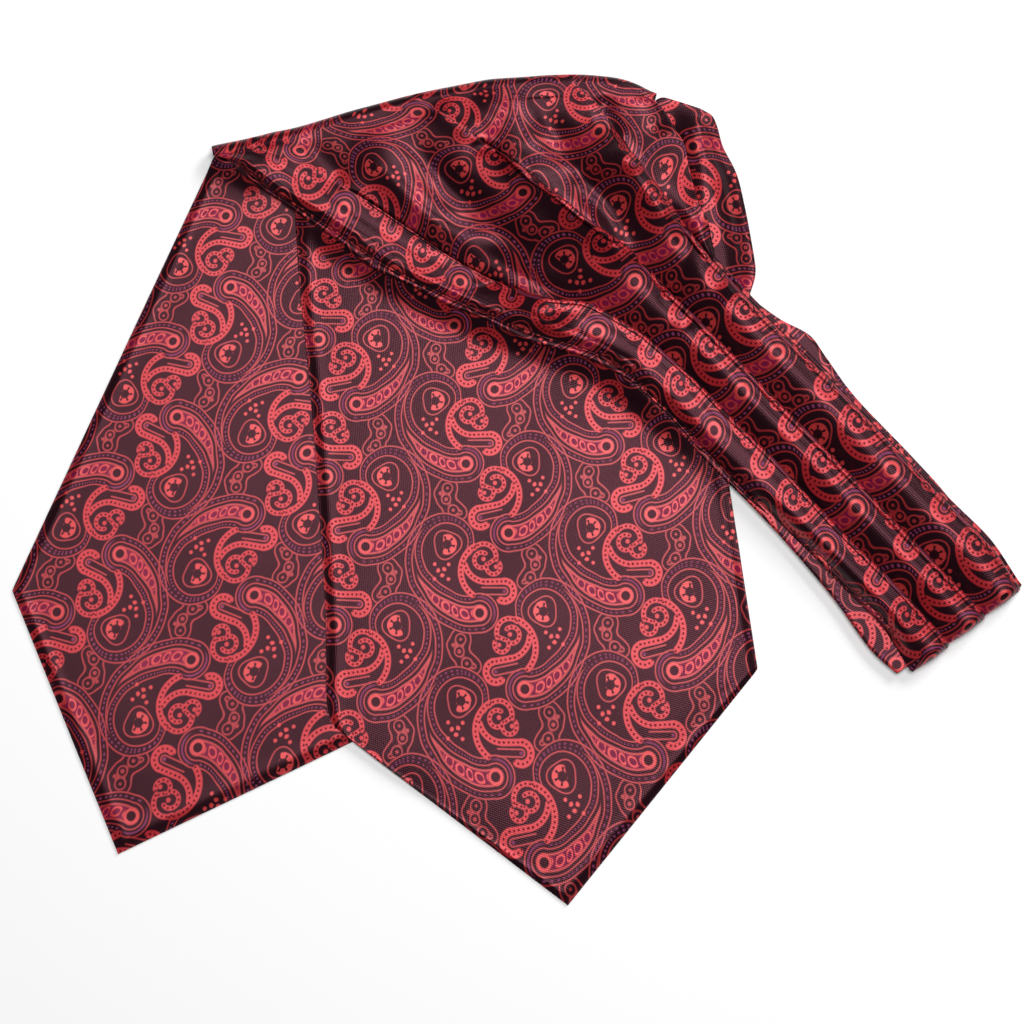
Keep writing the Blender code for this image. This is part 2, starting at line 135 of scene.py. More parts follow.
def alongLine(points, line):
    # nearest distance to a line of points, and the share of its length at that place
    line = np.array(line, float)
    reach = reachOf(line)
    reach /= reach[-1]
    nearest = np.full(points.shape[:-1], 1e9)
    share = np.zeros(points.shape[:-1])
    for k in range(len(line) - 1):
        run = line[k + 1] - line[k]
        t = np.clip(((points - line[k]) @ run) / (run @ run), 0, 1)
        away = np.linalg.norm(points - (line[k] + t[..., None] * run), axis=-1)
        nearer = away < nearest
        nearest = np.where(nearer, away, nearest)
        share = np.where(nearer, reach[k] + t * (reach[k + 1] - reach[k]), share)
    return nearest, share


# the share of a crease's length that each end fades over, and what it fades to
crease = {"fade": 0.3, "least": 0.12}


def creased(points, creases):
    # sum of soft ridges (+) and troughs (-): each falls off as a bell across its line and
    # fades out towards its two ends
    height = np.zeros(points.shape[:-1])
    for line, halfWidth, rise in creases:
        away, share = alongLine(points, fromPhoto(line))
        fade = smooth(share / crease["fade"]) * smooth((1 - share) / crease["fade"])
        full = crease["least"] + (1 - crease["least"]) * fade
        height += rise * np.exp(-(away / halfWidth) ** 2) * full
    return height


def withHeight(plan, height):
    # plan points with the height as their Z
    return np.concatenate([plan, height[..., None]], axis=-1)


# the weave's own coordinates on each stretch, fitted to where its repeats fall

fitUnit = 100.0        # mm, which keeps the powers near 1


def fitted(marks, order):
    # least-squares polynomials of X and Y for u and v through the marks (px, py, u, v)
    marks = np.array(marks, float)
    powers = [(i, j) for i in range(order + 1) for j in range(order + 1 - i)]
    at = fromPhoto(marks[:, :2]) / fitUnit

    def terms(p):
        return np.stack([p[..., 0] ** i * p[..., 1] ** j for i, j in powers], axis=-1)

    factors = np.linalg.lstsq(terms(at), marks[:, 2:], rcond=None)[0]
    return lambda plan: terms(plan / fitUnit) @ factors


leafA = (-1.4, -37.0)      # where the leaf's head lies in a repeat, and in its mirrored copy
leafB = (34.8, 35.0)
budA = (10.5, 8.9)         # the bud inside the scroll


def marksOf(columns):
    # rows of (px, py, u, v): each column has a kind, repeats across, and places with repeats along
    rows = []
    for (u, v), across, places in columns:
        for px, py, along in places:
            rows.append((px, py, u + weaveRepeat * across, v + weaveRepeat * along))
    return rows


frontMarks = marksOf([
    (leafA, -1, [(334, 623, 0), (328, 476, 1), (318, 341, 2)]),
    (leafA, 0, [(480, 613, 0), (466, 462, 1), (454, 327, 2)]),
    (leafA, 1, [(626, 597, 0), (607, 447, 1)]),
    (leafB, -1, [(376, 703, -1), (364, 545, 0), (357, 407, 1), (349, 270, 2)]),
    (leafB, 0, [(525, 690, -1), (508, 533, 0), (495, 387, 1)]),
    (leafB, 1, [(674, 668, -1), (651, 515, 0)]),
])
backMarks = marksOf([
    (leafA, 0, [(232, 289, 0), (178, 417, 1), (121, 555, 2)]),
    (leafA, -1, [(307, 453, 1), (254, 596, 2), (200, 748, 3)]),
    (leafB, 0, [(226, 217, -1), (172, 339, 0), (116, 472, 1), (58, 613, 2)]),
    (leafB, -1, [(299, 376, 0), (247, 513, 1), (191, 661, 2), (130, 814, 3)]),
])
fanMarks = marksOf([
    (leafA, 0, [(829, 539, -1), (712, 423, 0), (599, 333, 1), (464, 284, 2), (345, 210, 3)]),
    (leafA, 1, [(866, 500, -1), (749, 388, 0), (639, 283, 1), (523, 195, 2), (422, 116, 3)]),
    (leafA, 2, [(1007, 592, -2), (895, 466, -1), (781, 352, 0), (680, 238, 1), (597, 135, 2)]),
    (budA, 0, [(910, 615, -2), (793, 494, -1), (682, 384, 0), (560, 305, 1), (425, 256, 2),
               (315, 172, 3)]),
    (budA, 1, [(949, 580, -2), (828, 457, -1), (716, 346, 0), (597, 244, 1), (491, 162, 2)]),
    (budA, 2, [(975, 545, -2), (858, 421, -1), (747, 313, 0), (656, 199, 1), (578, 101, 2)]),
])


def turned(anchor, down, scale):
    # u and v for a stretch at one angle: down is the warp's direction in the image, and a scale
    # below 0 turns the weave half round
    down = unit(np.array(down, float))
    up = np.array([-down[0], down[1]])
    across = np.array([up[1], -up[0]])
    start = fromPhoto(anchor[:2])
    step = photo["scale"] * scale

    def weaveAt(plan):
        away = plan - start
        return np.stack([anchor[2] + away @ across / step, anchor[3] + away @ up / step], axis=-1)

    return weaveAt


# meshes

def roundEdge(rings, count):
    # half a circle from the face to the back
    share = np.linspace(0, 1, rings + 2)[1:-1, None]
    out = cloth["edge"] * np.sqrt(1 - (2 * share - 1) ** 2)
    return np.tile((1 - np.cos(math.pi * share)) / 2, count), np.tile(out, count)


def layeredEdge(layers):
    # one small bulge for each layer
    def profile(rings, count):
        share = np.linspace(0, 1, rings + 2)[1:-1, None]
        out = cloth["edge"] * np.abs(np.sin(math.pi * layers * share)) ** cloth["layerFull"]
        return np.tile(share, count), np.tile(out, count)
    return profile


# the fan's edge in section: mm down from the face and mm out, for an edge 4 mm high. The waves
# are how often, how much and from where, and fade is the share over which the lips set in
lip = {"path": [(0.0, 0.0), (0.4, 0.6), (1.6, 0.9), (3.1, 1.2), (2.2, 1.8), (1.6, 2.6), (2.1, 3.5),
                (3.3, 3.7), (4.0, 2.9), (4.0, 0.8)],
       "high": 4.0, "even": 0.9, "waves": [(17, 0.14, 0), (41, 0.12, 1)], "fade": 0.08}


def twoLips(scale, start=-1.0, stop=2.0):
    # the face's rolled lip, a seam groove, and the back shell's lip that peeks out beyond it from
    # one share of the edge's length to another
    def profile(rings, count):
        path = curve(lip["path"], rings + 2)[1:-1]
        along = np.linspace(0, 1, count)[None]
        waves = sum(rise * np.sin(along * often + shift) for often, rise, shift in lip["waves"])
        outward = path[:, 1:] * scale * (lip["even"] + waves)
        shown = smooth((along - start) / lip["fade"]) * smooth((stop - along) / lip["fade"])
        share, out = roundEdge(rings, count)
        return share + (path[:, :1] / lip["high"] - share) * shown, out + (outward - out) * shown
    return profile


def closedShell(name, face, back, weave, edges):
    # a closed mesh between two grids: edges gives a profile for the first row, the last row,
    # the first column and the last column, as shares from face to back and distances out. The
    # weave runs on over the edge by its own length
    rows, cols = face.shape[:2]
    rings = cloth["rimRings"]
    across = np.arange(cols)
    down = np.arange(rows)
    rimI = np.concatenate([0 * across, down[1:], np.full(cols - 1, rows - 1), down[-2:0:-1]])
    rimJ = np.concatenate([across, np.full(rows - 1, cols - 1), across[-2::-1], 0 * down[2:]])
    shares = np.zeros((rings, len(rimI)))
    pushes = np.zeros((rings, len(rimI), 3))
    slopes = np.zeros((len(rimI), 2))
    weight = np.zeros(len(rimI))
    middle = (face + back) / 2
    sides = [(rimI == 0, 1, 0, rimJ, cols), (rimI == rows - 1, -1, 0, rimJ, cols),
             (rimJ == 0, 0, 1, rimI, rows), (rimJ == cols - 1, 0, -1, rimI, rows)]
    for profile, (on, di, dj, place, count) in zip(edges, sides):
        i, j = rimI[on], rimJ[on]
        away = middle[i, j] - middle[i + di, j + dj]
        away[:, 2] *= cloth["rimLevel"]
        size = np.maximum(np.linalg.norm(away, axis=-1, keepdims=True), 1e-6)
        slopes[on] += (weave[i, j] - weave[i + di, j + dj]) / size
        share, out = profile(rings, count)
        share, out = share[:, place[on]], out[:, place[on]]
        shares[:, on] += share
        pushes[:, on] += out[..., None] * away / size
        weight[on] += 1
    shares /= weight
    pushes /= np.sqrt(weight)[None, :, None]
    slopes /= weight[:, None]
    top, low = face[rimI, rimJ], back[rimI, rimJ]
    ringPoints = top + shares[..., None] * (low - top) + pushes
    steps = np.linalg.norm(np.diff(np.concatenate([top[None], ringPoints]), axis=0), axis=-1)
    ringWeave = weave[rimI, rimJ] + np.cumsum(steps, axis=0)[..., None] * slopes

    points = np.concatenate([face.reshape(-1, 3), back.reshape(-1, 3), ringPoints.reshape(-1, 3)])
    points[:, 2] = np.maximum(points[:, 2], 0.0)
    where = np.concatenate([weave.reshape(-1, 2), weave.reshape(-1, 2), ringWeave.reshape(-1, 2)])
    grid = np.arange(rows * cols).reshape(rows, cols)
    quad = np.stack([grid[:-1, :-1], grid[1:, :-1], grid[1:, 1:], grid[:-1, 1:]], axis=-1)
    under = quad[..., ::-1] + rows * cols
    loops = np.concatenate([[grid[rimI, rimJ]],
                            2 * rows * cols + np.arange(rings * len(rimI)).reshape(rings, -1),
                            [grid[rimI, rimJ] + rows * cols]])
    nextLoop = np.roll(loops, -1, axis=1)
    rim = np.stack([loops[:-1], nextLoop[:-1], nextLoop[1:], loops[1:]], axis=-1)
    faces = np.concatenate([quad.reshape(-1, 4), under.reshape(-1, 4), rim.reshape(-1, 4)])
    return clothObject(name, points, faces, where)


def clothObject(name, points, faces, weave):
    # the mesh with its weave coordinates as a UV map, in repeats
    mesh = bpy.data.meshes.new(name)
    mesh.vertices.add(len(points))
    mesh.vertices.foreach_set("co", (points * mm).astype(np.float32).ravel())
    mesh.loops.add(faces.size)
    mesh.loops.foreach_set("vertex_index", faces.astype(np.int32).ravel())
    mesh.polygons.add(len(faces))
    mesh.polygons.foreach_set("loop_start", np.arange(0, faces.size, 4, dtype=np.int32))
    mesh.update(calc_edges=True)
    mesh.validate()
    layer = mesh.uv_layers.new(name="weave")
    layer.data.foreach_set("uv", (weave[faces.ravel()] / weaveRepeat).astype(np.float32).ravel())
    mesh.polygons.foreach_set("use_smooth", np.ones(len(faces), bool))
    mesh.materials.append(satinCloth)
    piece = bpy.data.objects.new(name, mesh)
    bpy.context.scene.collection.objects.link(piece)
    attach(piece, "root")
    print(f"{name}: {2 * len(faces)} triangles")
    return piece


# shader sums written as plain expressions

class Strand:
    # one value of a shader: sums with it add Math nodes
    def __init__(self, tree, socket=None):
        self.tree = tree
        self.socket = socket

    def feed(self, node, sockets):
        # gives a node's sockets their values or links
        for key, value in sockets.items():
            if isinstance(value, Strand):
                self.tree.links.new(value.socket, node.inputs[key])
            else:
                node.inputs[key].default_value = value

    def node(self, kind, settings=None, sockets=None):
        # any node: its settings first, then the values or links of its sockets
        made = self.tree.nodes.new(kind)
        for key, value in (settings or {}).items():
            if key == "stops":
                ramp = made.color_ramp
                for spot, colour in value[1:-1]:
                    ramp.elements.new(spot).color = colour
                ramp.elements[0].color = value[0][1]
                ramp.elements[-1].color = value[-1][1]
            elif key == "blend":
                made.color_ramp.interpolation = value
            else:
                setattr(made, key, value)
        self.feed(made, sockets or {})
        return [Strand(self.tree, out) for out in made.outputs]

    def maths(self, operation, *others, clamp=False):
        sockets = dict(enumerate((self,) + others))
        return self.node("ShaderNodeMath", {"operation": operation, "use_clamp": clamp}, sockets)[0]

    def __add__(self, other):
        return self.maths("ADD", other)

    __radd__ = __add__

    def __sub__(self, other):
        return self.maths("SUBTRACT", other)

    def __rsub__(self, other):
        return self.node("ShaderNodeMath", {"operation": "SUBTRACT"}, {0: other, 1: self})[0]

    def __mul__(self, other):
        return self.maths("MULTIPLY", other)

    __rmul__ = __mul__

    def __truediv__(self, other):
        return self.maths("DIVIDE", other)

    def __rtruediv__(self, other):
        return self.node("ShaderNodeMath", {"operation": "DIVIDE"}, {0: other, 1: self})[0]

    def scaled(self, factor, shift, clamp=False):
        return self.maths("MULTIPLY_ADD", factor, shift, clamp=clamp)

    def size(self):
        return self.maths("ABSOLUTE")

    def lower(self, other):
        return self.maths("MINIMUM", other)

    def upper(self, other):
        return self.maths("MAXIMUM", other)

    def sine(self):
        return self.maths("SINE")

    def root(self):
        return self.maths("SQRT")

    def part(self):
        return self.maths("FRACT")

    def bearing(self, x):
        return self.maths("ARCTAN2", x)

    def split(self):
        return self.node("ShaderNodeSeparateXYZ", None, {0: self})[:3]


def mixed(below, above, factor):
    # a colour mixed from two, where factor is a Strand
    return factor.node("ShaderNodeMix", {"data_type": "RGBA"}, {0: factor, 6: below, 7: above})[2]


# the paisley, drawn in weave units round the middle of one repeat

leaf = {
    "centre": (-27.5, 15.0), "from": -60.0, "head": (2.5, -37.0, 18.0),
    # turn from the head in degrees, distance of the leaf's middle line, half width
    "spine": [(0, 60, 18), (26, 49.5, 17.5), (60, 39.5, 13.5), (90, 36.5, 10.5), (120, 36, 8.2),
              (165, 38, 6), (210, 36.8, 4.4), (255, 28.5, 3.4), (295, 17, 2.5), (315, 12, -6),
              (360, 10, -20)],
    # depths inside the leaf: a line is its half width and its place, beads are step and size
    "outline": 0.62, "innerLine": (0.58, 6.6), "core": 10.2, "rim": 12.2, "beadsAt": 3.3,
    "beads": (4.4, 0.95), "heartFrom": 7.0, "eye": (1.2, 5.6),
    # the heart's scales: a step along the leaf, where it starts, its middle, radius, half width
    "scales": (11.0, 3.0, 0.35, 4.2, 1.0), "spread": 0.4,
}
# a ramp colour of 1 in weave units, and the width where it is 0
rampUnits = {"radius": 100.0, "width": 100.0, "least": -20.0, "run": 400.0}
scroll = {
    # centre, radius, middle of the arc and its reach each way in degrees, half width
    "arcs": [(6, 15.4, 12.5, 65, 75, 2.4), (10.5, 2.1, 26.9, 178, 58, 3.0),
             (8.5, 13.9, 21.8, 234, 37, 2.9), (26.8, -16.6, 9.2, -12, 103, 3.4),
             (4.2, 12.4, 7.3, 185, 125, 2.1), (15.9, 6.1, 6.9, -85, 115, 2.1)],
    # from one end to the other, half width
    "bridges": [(8.5, -8, 26.8, -7.4, 3.1), (18.3, 14, 11.5, 9.5, 2.0)],
    "knobs": [(6, 13.4, 2.1), (18.4, 6.2, 2.0)],
    "middle": (8, 0), "holes": (4.4, 1.05),
    # the line inside the curl: how far in, its half width, where it starts, and the bead in it
    "curl": (6.0, 0.65, 4.0, 1.7),
}
# a pear-shaped ring: its half width, radius, and how much and from where it waves
hook = {"centre": (-30.5, 27.0), "ring": (0.6, 13.5, 1.3, 1.0),
        # the arch: radius, half width and where it starts, and its blocks: how many round a
        # turn, where they start, their step and half length. Its rim: half width, how far out
        "arch": (7.2, 2.7, -4.0), "blocks": (6, 0.2, 12, 4.2), "archRim": (0.8, 1.6)}
# two rings of dots: run for each radian, where it starts, radius, step and size
dots = {"centre": (-35.5, 1.0), "rings": [(3.2, 1, 3.4, 6.7, 1.9), (9.6, 0, 9.8, 15.08, 1.7)]}
# rounds of the cloud: centre, radius, radius of its seed
cloud = [(54.0, 18.5, 10.0, 1.3), (57.5, 8.0, 9.5, 1.9), (52.5, -4.0, 10.0, 1.6),
         (46.0, -8.0, 6.5, 0.0), (62.5, 15.0, 5.5, 0.0)]
cloudLook = {"blend": 7.0, "outline": 0.58, "innerLine": (0.55, 5.0), "seeds": 0.8}
mirrorAt = 33.4       # u of the mirrored copy is this less u, half a repeat further along
lean = math.radians(6.1)       # of the motif, off the warp
softEdge = 0.55


def soft(x):
    # 1 above 0 and 0 below, with a narrow soft edge
    return x.scaled(1 / (2 * softEdge), 0.5, clamp=True)


def drawn(x, half, at=0):
    # a line of that half width where x is at that value
    return soft(half - ((x - at) if at else x).size())


def apart(x, y):
    # the distance from where both are 0
    return (x * x + y * y).root()


def beadRow(run, across, step, size):
    # round dots at equal steps along a line
    x = ((run / step).part() - 0.5) * step
    return soft(size - apart(x, across))


def arcBand(x, y, centreX, centreY, radius, middle, reach, half):
    # how deep a place is in a band that follows an arc, its offset and its run along the arc
    dx, dy = x - centreX, y - centreY
    r = apart(dx, dy)
    turn = dy.bearing(dx).scaled(1 / (2 * math.pi), 0.5 - middle / 360)
    along = (turn.part() - 0.5) * (2 * math.pi)
    beyond = (along.size() - math.radians(reach)).upper(0.0) * radius
    offset = r - radius
    return half - apart(offset, beyond), offset, along * radius


def bridgeBand(x, y, x0, y0, x1, y1, half):
    # the same for a straight piece of band
    run = math.dist((x0, y0), (x1, y1))
    ax, ay = (x1 - x0) / run, (y1 - y0) / run
    along = (x - x0) * ax + (y - y0) * ay
    offset = (y - y0) * ax - (x - x0) * ay
    beyond = (along * -1).upper(along - run).upper(0.0)
    return half - apart(offset, beyond), offset, along


def spineStops():
    # ramp colours of the leaf's middle line: radius, half width and length so far
    stops, length, last = [], 0.0, None
    for turn, radius, width in leaf["spine"]:
        here = (radius * math.cos(math.radians(turn)), radius * math.sin(math.radians(turn)))
        length += math.dist(here, last) if last else 0.0
        last = here
        colour = (radius / rampUnits["radius"], (width - rampUnits["least"]) / rampUnits["width"],
                  length / rampUnits["run"], 1)
        stops.append((turn / 360, colour))
    return stops


def leafMasks(x, y):
    # the curled leaf: fine lines, beads between them, heart, bright rings, and how deep inside
    centreX, centreY = leaf["centre"]
    dx, dy = x - centreX, y - centreY
    r = apart(dx, dy)
    turn = dy.bearing(dx).scaled(-1 / (2 * math.pi), leaf["from"] / 360).part()
    settings = {"stops": spineStops(), "blend": "CARDINAL"}
    spine = turn.node("ShaderNodeValToRGB", settings, {0: turn})[0]
    radius, width, run = spine.node("ShaderNodeSeparateColor", None, {0: spine})[:3]
    run = run * rampUnits["run"]
    offset = r - radius * rampUnits["radius"]
    headX, headY, headR = leaf["head"]
    fromHead = apart(x - headX, y - headY)
    half = width.scaled(rampUnits["width"], rampUnits["least"])
    depth = (half - offset.size()).upper(headR - fromHead)
    lines = drawn(depth, leaf["outline"]).upper(drawn(depth, *leaf["innerLine"]))
    core = soft(depth - leaf["core"])
    rim = core * soft(leaf["rim"] - depth)
    beads = beadRow(run, depth - leaf["beadsAt"], *leaf["beads"])
    heart = (core - rim) * soft(fromHead - leaf["heartFrom"])
    step, start, middle, ringR, half = leaf["scales"]
    scale = (((run + start) / step).part() - middle) * step
    scales = drawn(apart(scale, offset), half, ringR) * heart
    bright = drawn(fromHead, *leaf["eye"]).upper(scales)
    return lines.upper(rim), beads, heart, bright, soft(depth + leaf["spread"])


def scrollMasks(x, y):
    # the scroll with its curled bud, as a dotted band
    bands = [arcBand(x, y, *arc) for arc in scroll["arcs"]]
    bands += [bridgeBand(x, y, *bridge) for bridge in scroll["bridges"]]
    band = holes = None
    for inBand, across, along in bands:
        hole = beadRow(along, across, *scroll["holes"]).lower(soft(inBand))
        band = inBand if band is None else band.upper(inBand)
        holes = hole if holes is None else holes.upper(hole)
    for knobX, knobY, knobR in scroll["knobs"]:
        band = band.upper(knobR - apart(x - knobX, y - knobY))
    # a fine line inside the scroll's curl
    curlX, curlY, curlR = scroll["arcs"][3][:3]
    inward, half, start, beadR = scroll["curl"]
    beyond = (x - curlX).upper(0.0)
    line = drawn(apart(beyond, y - curlY), half, curlR - inward) * soft(x - start)
    bead = soft(beadR - apart(x - curlX, y - curlY))
    return soft(band), holes, line, bead


def hookMasks(x, y):
    # inside the leaf's curl: a ring, a broken arch and two rings of dots
    hookX, hookY = x - hook["centre"][0], y - hook["centre"][1]
    r = apart(hookX, hookY)
    bearing = hookY.bearing(hookX)
    radius, half, start = hook["arch"]
    count, shift, step, blockHalf = hook["blocks"]
    rimHalf, rimOut = hook["archRim"]
    block = (bearing.scaled(count / (2 * math.pi), shift).part() - 0.5).size() * step
    rightHalf = soft(hookX - start)
    arch = drawn(r, half, radius) * soft(blockHalf - block) * rightHalf
    bright = arch.upper(drawn(r, rimHalf, radius + rimOut) * rightHalf)
    dotX, dotY = x - dots["centre"][0], y - dots["centre"][1]
    fromDots = apart(dotX, dotY)
    around = dotY.bearing(dotX)
    for turns, shift, dotR, step, size in dots["rings"]:
        row = beadRow(around.scaled(turns, shift), fromDots - dotR, step, size)
        bright = bright.upper(row)
    half, radius, wave, shift = hook["ring"]
    ring = (bearing * 3 + shift).sine() * wave + radius
    return drawn(r - ring, half), bright


def cloudMasks(x, y):
    # a cloud of five rounds: its outline, a second line inside and three seeds
    depth = seeds = None
    for centreX, centreY, radius, seed in cloud:
        away = apart(x - centreX, y - centreY)
        inside, dot = radius - away, soft(seed - away)
        if depth is None:
            depth, seeds = inside, dot
        else:
            depth = depth.maths("SMOOTH_MAX", inside, cloudLook["blend"])
            seeds = seeds.upper(dot)
    lines = drawn(depth, cloudLook["outline"]).upper(drawn(depth, *cloudLook["innerLine"]))
    return lines.upper(seeds * cloudLook["seeds"])


def nearerOf(places, centre):
    # the coordinates of whichever copy has its own centre nearer
    (xa, ya), (xb, yb) = places
    awayA, awayB = (apart(x - centre[0], y - centre[1]) for x, y in places)
    first = awayA.maths("LESS_THAN", awayB)
    return xb + (xa - xb) * first, yb + (ya - yb) * first


def paisley(u, v):
    # the motif and its mirrored copy, half a repeat along, each turned a little off the warp
    places = []
    for flip, start, shift in ((1, 0.0, 0.0), (-1, mirrorAt, 0.5)):
        across = (u.scaled(flip, start / weaveRepeat + 0.5).part() - 0.5) * weaveRepeat
        along = (v.scaled(1, 0.5 + shift).part() - 0.5) * weaveRepeat
        x = across * math.cos(lean) - along * math.sin(lean)
        y = across * math.sin(lean) + along * math.cos(lean)
        places.append((x, y))
    leaves = [leafMasks(x, y) for x, y in places]
    lines, beads, heart, bright, inside = (a.upper(b) for a, b in zip(*leaves))
    # the leaves lie over the clouds' outlines
    lines = lines.upper(cloudMasks(*nearerOf(places, cloud[1][:2])) * (1 - inside))
    x, y = nearerOf(places, scroll["middle"])
    band, holes, line, bead = scrollMasks(x, y)
    ring, dotted = hookMasks(x, y)
    lines = lines.upper(line).upper(ring)
    return lines, band, holes, beads.upper(bead), heart, bright.upper(dotted)


satin = {
    "ground": (0.0085, 0.0030, 0.0046, 1), "speck": (0.030, 0.004, 0.009, 1),
    "beads": (0.17, 0.030, 0.090, 1), "heart": (0.16, 0.006, 0.038, 1),
    "lines": (0.35, 0.022, 0.026, 1), "band": (0.42, 0.018, 0.024, 1),
    "holes": (0.055, 0.001, 0.005, 1), "bright": (0.49, 0.034, 0.036, 1),
    "heartShare": 0.85, "speckShare": (0.9, -0.1),
    "glossTint": (1.0, 0.36, 0.46, 1), "gloss": 0.25, "figureGleam": 0.32, "figureCoat": 0.36,
    "coatIOR": 1.6, "groundRough": 0.30, "figureRough": 0.38,
    # threads to a repeat, the weft's slant, and the relief's strength and height in metres
    "threads": 76.0, "slant": 0.4, "relief": (0.3, 0.00008),
}


def jacquard(name):
    # satin with the paisley woven in: colour and gloss by thread, and a fine relief
    material = bpy.data.materials.new(name)
    material.use_nodes = True
    tree = material.node_tree
    start = Strand(tree)
    weave = start.node("ShaderNodeUVMap", {"uv_map": "weave"})[0]
    u, v = weave.split()[:2]
    lines, band, holes, beads, heart, bright = paisley(u, v)
    turns = satin["threads"] * 2 * math.pi
    warp = (u * turns).sine()
    weft = ((v + u * satin["slant"]) * turns).sine()
    threads = warp * 0.5 + weft * 0.5
    specks = threads.scaled(*satin["speckShare"], clamp=True)
    colour = satin["ground"]
    # each lies over those before it
    masks = {"speck": specks, "beads": beads, "heart": heart * satin["heartShare"],
             "lines": lines, "band": band, "holes": holes, "bright": bright}
    for part, mask in masks.items():
        colour = mixed(colour, satin[part], mask)
    figure = lines.upper(band).upper(bright)
    rough = figure.scaled(satin["figureRough"] - satin["groundRough"], satin["groundRough"])
    strength, distance = satin["relief"]
    relief = {"Strength": strength, "Distance": distance, "Height": threads}
    start.feed(tree.nodes["Principled BSDF"], {
        "Base Color": colour, "Roughness": rough, "Metallic": figure * satin["figureGleam"],
        "Coat Weight": figure * (1 - holes) * satin["figureCoat"],
        "Coat Roughness": satin["figureRough"], "Coat IOR": satin["coatIOR"],
        "Normal": start.node("ShaderNodeBump", None, relief)[0],
        "Specular IOR Level": satin["gloss"], "Specular Tint": satin["glossTint"],
    })
    print(f"{name}: {len(tree.nodes)} nodes")
    return material


# what each stretch rests on

backLeft = [(-113, 125), (-186, -37)]
backPoint = [(-186, -37), (-147, -134), (-53, -89)]
backRight = [(45, 141), (26, 122), (-13, 26), (-53, -89)]
frontTop = [(-79, 113), (-60, 106), (-40, 94), (-20, 84), (0, 76), (20, 68), (38, 56), (54, 38),
            (66, 30), (76, 22)]
frontLeft = [(-79, 113), (-81, 102), (-79, 70), (-76, 41), (-73, 3), (-70, -46), (-69, -82),
             (-60, -93)]
frontPoint = [(-60, -93), (19, -153), (89, -66)]
frontRight = [(76, 22), (78, 4), (89, -66)]
fanTop = [(-112, 126), (-98, 129), (-80, 134), (-61, 140), (-43, 145), (-24, 149), (-6, 152),
          (13, 153.4), (27, 153.4), (40, 151.6), (52, 147)]
underTop = [(-76, 127), (-58, 132), (-42, 137), (-24, 141), (-6, 144), (13, 145.5), (27, 145.5),
            (40, 144), (49, 142), (54, 144.8), (60, 143.5), (68, 141)]
underRight = [(68, 141), (72, 138.5), (74, 134), (76, 127), (81, 117), (84, 105), (87, 89),
              (88, 80), (86, 72)]
underSeam = [(50, 42), (86, 72)]
underLeft = [(-76, 127), (-74, 116), (-58, 107), (-38, 95), (-18, 85), (4, 76), (26, 66), (50, 42)]
lowLeft = [(48, 36), (70, 12), (89, -7), (102, -21), (118, -40), (131, -58), (143, -70)]
lowRight = [(86, 71), (97, 63), (108, 57), (114, 49), (125, 34), (146, 12), (161, -5), (182, -34)]

rest = {"stayUp": 9.0, "comeDown": 30.0, "loft": 6.4, "loftCentre": (16.0, 114.0),
        "loftSize": (84.0, 29.0), "hiddenLoft": 0.45}
# swells of the lower layers: line in the image, half width and height in mm
backSwells = [([(196, 142), (224, 158), (250, 172), (275, 188)], 5.5, 2.6)]
frontSwells = [
    ([(248, 172), (277, 198), (307, 214), (351, 244), (399, 274), (442, 296), (499, 322),
      (550, 340), (602, 358), (638, 386), (684, 428), (724, 472), (748, 500)], 6.0, 4.6),
    ([(728, 452), (741, 492), (749, 530), (754, 575)], 4.5, 2.6),
]
backOutline = backLeft + backPoint[1:] + backRight[::-1][1:]
frontOutline = frontLeft + frontPoint[1:] + frontRight[::-1][1:] + frontTop[::-1][1:-1]
underOutline = underTop + underRight[1:] + underLeft[::-1][:-1]
lowOutline = lowLeft + lowRight[::-1]


def heldUp(points, outline):
    # 1 over a lower layer, coming down to 0 past its edge
    return 1 - smooth((pastEdge(points, outline) - rest["stayUp"]) / rest["comeDown"])


def loft(points):
    # the fan's soft rise, a bell in X and Y
    away = (points - np.array(rest["loftCentre"])) / np.array(rest["loftSize"])
    return rest["loft"] * np.exp(-(away ** 2).sum(-1))


def backRise(points):
    # the back blade comes up into the fold at its corner
    return creased(points, backSwells)


def frontRest(points):
    # one wall up over the back blade
    return pitch * heldUp(points, backOutline) + backRise(points)


def underRest(points):
    # and one more over the front blade
    return frontRest(points) + pitch * heldUp(points, frontOutline)


def outerRest(points):
    # over the inner stretch's three walls, and down to the blades past them
    thick = np.maximum(heldUp(points, underOutline), heldUp(points, lowOutline))
    return thick * (bandHeight + cloth["gap"]) + (1 - thick) * underRest(points)


def frontRise(points):
    # the front blade comes up a little towards the rolled edge that lies on it
    return creased(points, frontSwells)


satinCloth = jacquard("satin_jacquard")

# the two blades

blade = {"columns": 150, "rows": 150, "waves": 5, "waveHeight": 0.5, "waveLengths": (45, 120),
         "pressed": 0.12,       # share of the width that is pressed flat at each edge
         # the edge's roll and fall: mm, where in steps from the edge, and over how many
         "edgeRoll": (0.25, 3.0, math.sqrt(3.0)), "edgeFall": (0.7, 0.0, 1.7),
         "tuck": 0.6, "normalReach": 20.0}


def gentle(points, seed):
    # slow rises of pressed cloth: a few long waves in uneven directions, never below 0
    rng = np.random.default_rng(seed)
    height = np.zeros(points.shape[:-1])
    for k in range(blade["waves"]):
        angle, phase = rng.uniform(0, math.pi), rng.uniform(0, 2 * math.pi)
        length = rng.uniform(*blade["waveLengths"])
        along = points[..., 0] * math.cos(angle) + points[..., 1] * math.sin(angle)
        height += np.sin(along * 2 * math.pi / length + phase) / blade["waves"]
    return blade["waveHeight"] * (1 + height) / 2


